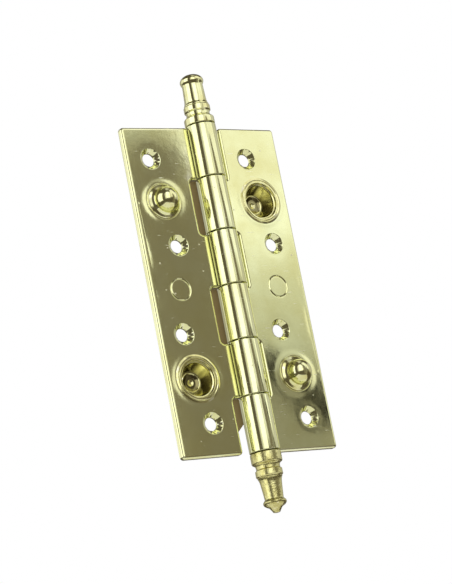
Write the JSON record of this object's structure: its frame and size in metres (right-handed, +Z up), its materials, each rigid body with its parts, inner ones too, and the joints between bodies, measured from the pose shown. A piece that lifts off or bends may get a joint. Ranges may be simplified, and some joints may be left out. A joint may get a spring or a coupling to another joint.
{
  "type": "security butt hinge",
  "caption": "Brass-plated security butt hinge with rolled knuckles, countersunk screw holes, domed locking studs with matching cups, and turned finials on the pin.",
  "frame": {"origin": "on the pin's axis, at half the height of the leaves", "axes": "+Z up the pin towards the upper finial; the frame leaf lies towards -X with its countersunk face towards -Y; the door leaf lies towards +X, tilted 3 degrees back"},
  "size_m": [0.0814, 0.0176, 0.2016],
  "materials": {
    "leaf_plate": "polished brass plate on steel sheet",
    "stud_plate": "polished brass plate on steel",
    "cup_plate": "pressed, brass plated",
    "pin_steel": "drawn steel bar",
    "polished_finial": "turned and polished",
    "cast_finial": "turned from a granular casting, lightly polished"
  },
  "bodies": {
    "frame_side": {"frame_leaf": "leaf_plate", "frame_stud": "stud_plate", "frame_socket": "cup_plate"},
    "door_side": {"door_leaf": "leaf_plate", "door_stud": "stud_plate", "door_socket": "cup_plate"},
    "pin": {"hinge_pin": "pin_steel", "upper_finial": "polished_finial", "lower_finial": "cast_finial"}
  },
  "joints": [
    {"name": "door_swing", "type": "hinge", "parent": "frame_side", "child": "door_side", "pos_m": [0, 0, 0], "axis": [0, 0, -1], "range_deg": [-87, 183]},
    {"name": "pin_turn", "type": "hinge", "parent": "frame_side", "child": "pin", "pos_m": [0, 0, 0], "axis": [0, 0, 1], "continuous": true}
  ]
}
